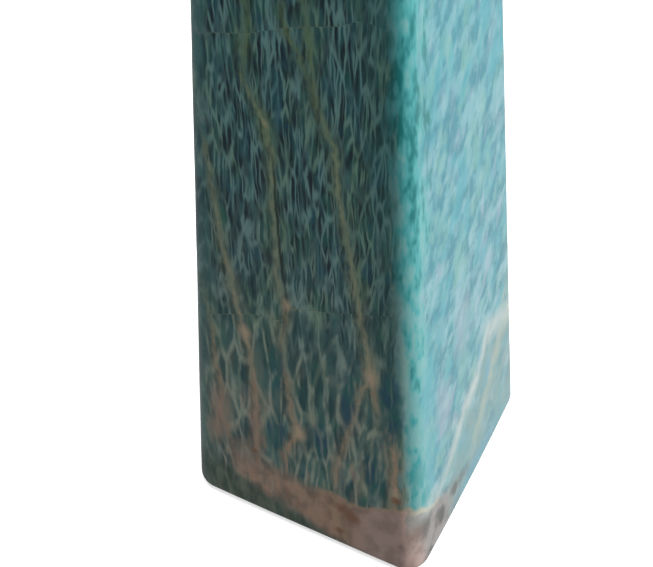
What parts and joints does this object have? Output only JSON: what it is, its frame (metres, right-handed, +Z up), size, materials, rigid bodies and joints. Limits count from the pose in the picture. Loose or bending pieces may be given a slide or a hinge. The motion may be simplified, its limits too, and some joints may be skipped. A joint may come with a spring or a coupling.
{
  "type": "amazonite obelisk",
  "caption": "Polished blue-green amazonite obelisk: a tapered square shaft with rounded edges and a low pyramid point, standing on its flat base.",
  "frame": {"origin": "middle of the flat base, on the surface the obelisk stands on", "axes": "+Z up the shaft to the point; the brown-seamed dark side faces -Y and the pale side faces +X"},
  "size_m": [0.0344, 0.0332, 0.1233],
  "materials": {
    "polished_amazonite": "polished, blue-green feldspar with pale streaks, tan and brown seams and a mauve-brown foot"
  },
  "bodies": {
    "root": {"obelisk": "polished_amazonite"}
  },
  "joints": []
}
